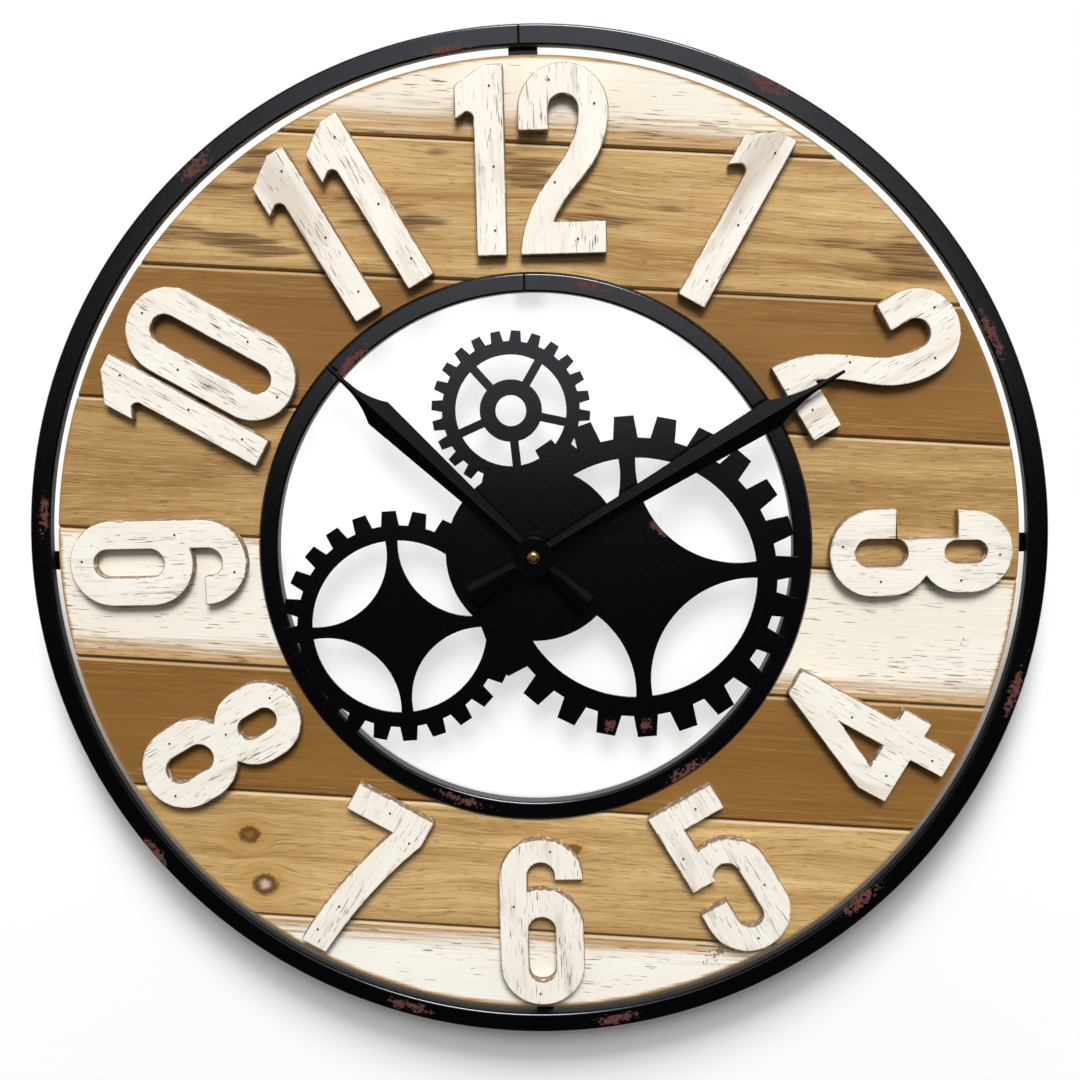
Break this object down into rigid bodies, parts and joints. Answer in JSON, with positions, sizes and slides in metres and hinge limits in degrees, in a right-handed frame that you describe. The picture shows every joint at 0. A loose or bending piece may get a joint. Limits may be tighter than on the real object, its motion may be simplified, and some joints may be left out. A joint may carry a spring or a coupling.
{
  "type": "wall clock",
  "caption": "Round wall clock of tilted wooden planks with cut wooden numerals in a black steel rim, its open centre spanned by a gear-shaped plate with folded hands and a battery movement.",
  "frame": {"origin": "on the hand axis, half way through the clock's depth", "axes": "+X to three o'clock, +Z to twelve o'clock, +Y from the dial to the wall, so the dial faces -Y"},
  "size_m": [0.6, 0.04, 0.6],
  "materials": {
    "black_steel": "satin black paint with chips of rust",
    "wood_white": "whitewashed, worn through in places",
    "wood_natural": "natural, matt",
    "wood_brown": "brown stain, matt",
    "wood_numeral": "white paint rubbed back at the edges and the grain",
    "black_hands": "satin black paint",
    "brass": "turned",
    "bright_steel": "zinc plated",
    "rubber": "matt",
    "black_plastic": "moulded",
    "white_plastic": "moulded",
    "copper": "enamelled copper wire",
    "board": "lacquered",
    "battery_sleeve": "plain printed sleeve"
  },
  "bodies": {
    "frame": {"circuit_board": "board", "coil": "copper", "coil_core": "bright_steel", "contact_minus": "bright_steel", "contact_plus": "bright_steel", "fixing_nut": "brass", "gear_plate": "black_steel", "hanger": "black_steel", "inner_ring": "black_steel", "movement_case": "black_plastic", "movement_cover": "black_plastic", "numeral_1": "wood_numeral", "numeral_10": "wood_numeral", "numeral_11": "wood_numeral", "numeral_12": "wood_numeral", "numeral_2": "wood_numeral", "numeral_3": "wood_numeral", "numeral_4": "wood_numeral", "numeral_5": "wood_numeral", "numeral_6": "wood_numeral", "numeral_7": "wood_numeral", "numeral_8": "wood_numeral", "numeral_9": "wood_numeral", "outer_rim": "black_steel", "plank_1": "wood_white", "plank_2": "wood_natural", "plank_3_left": "wood_brown", "plank_3_right": "wood_brown", "plank_4_left": "wood_natural", "plank_4_right": "wood_natural", "plank_5_left": "wood_white", "plank_5_right": "wood_white", "plank_6_left": "wood_brown", "plank_6_right": "wood_brown", "plank_7": "wood_natural", "plank_8": "wood_white", "plank_screws": "bright_steel", "rubber_washer": "rubber", "stator": "bright_steel", "steel_washer": "bright_steel", "strap_bottom": "black_steel", "strap_left": "black_steel", "strap_right": "black_steel", "strap_top": "black_steel"},
    "minute": {"minute_arbor": "bright_steel", "minute_hand": "black_hands", "hand_nut": "brass"},
    "hour": {"hour_wheel": "white_plastic", "hour_hand": "black_hands"},
    "motion": {"motion_wheel": "white_plastic"},
    "knob": {"setting_knob": "black_plastic"},
    "seconds": {"seconds_wheel": "white_plastic"},
    "intermediate": {"intermediate_wheel": "white_plastic"},
    "rotor": {"rotor": "white_plastic"},
    "third": {"third_wheel": "white_plastic"},
    "centre": {"centre_wheel": "white_plastic"},
    "battery": {"battery": "battery_sleeve"}
  },
  "joints": [
    {"name": "minute_turn", "type": "hinge", "parent": "frame", "child": "minute", "pos_m": [0, 0, 0], "axis": [0, 1, 0], "continuous": true},
    {"name": "hour_turn", "type": "hinge", "parent": "frame", "child": "hour", "pos_m": [0, 0, 0], "axis": [0, 1, 0], "continuous": true},
    {"name": "motion_turn", "type": "hinge", "parent": "frame", "child": "motion", "pos_m": [0.0096, 0, 0], "axis": [0, 1, 0], "continuous": true},
    {"name": "knob_turn", "type": "hinge", "parent": "frame", "child": "knob", "pos_m": [0.0147, 0, -0.00883], "axis": [0, 1, 0], "continuous": true},
    {"name": "seconds_turn", "type": "hinge", "parent": "frame", "child": "seconds", "pos_m": [-0.00155, 0, 0.01605], "axis": [0, 1, 0], "continuous": true},
    {"name": "intermediate_turn", "type": "hinge", "parent": "frame", "child": "intermediate", "pos_m": [0.0079, 0, 0.01605], "axis": [0, 1, 0], "continuous": true},
    {"name": "rotor_turn", "type": "hinge", "parent": "frame", "child": "rotor", "pos_m": [0.01195, 0, 0.00904], "axis": [0, 1, 0], "continuous": true},
    {"name": "third_turn", "type": "hinge", "parent": "frame", "child": "third", "pos_m": [-0.01034, 0, 0.00868], "axis": [0, 1, 0], "continuous": true},
    {"name": "centre_turn", "type": "hinge", "parent": "frame", "child": "centre", "pos_m": [0, 0, 0], "axis": [0, 1, 0], "continuous": true},
    {"name": "battery_slide", "type": "slide", "parent": "frame", "child": "battery", "axis": [0, 1, 0], "range_m": [0, 0.025]}
  ],
  "couplings": [
    {"joint": "hour_turn", "follows": "minute_turn", "ratio": 0.083333},
    {"joint": "motion_turn", "follows": "minute_turn", "ratio": -0.33333},
    {"joint": "knob_turn", "follows": "minute_turn", "ratio": 0.8},
    {"joint": "intermediate_turn", "follows": "seconds_turn", "ratio": -6},
    {"joint": "rotor_turn", "follows": "seconds_turn", "ratio": 30},
    {"joint": "third_turn", "follows": "seconds_turn", "ratio": -0.13333},
    {"joint": "centre_turn", "follows": "seconds_turn", "ratio": 0.016667}
  ]
}
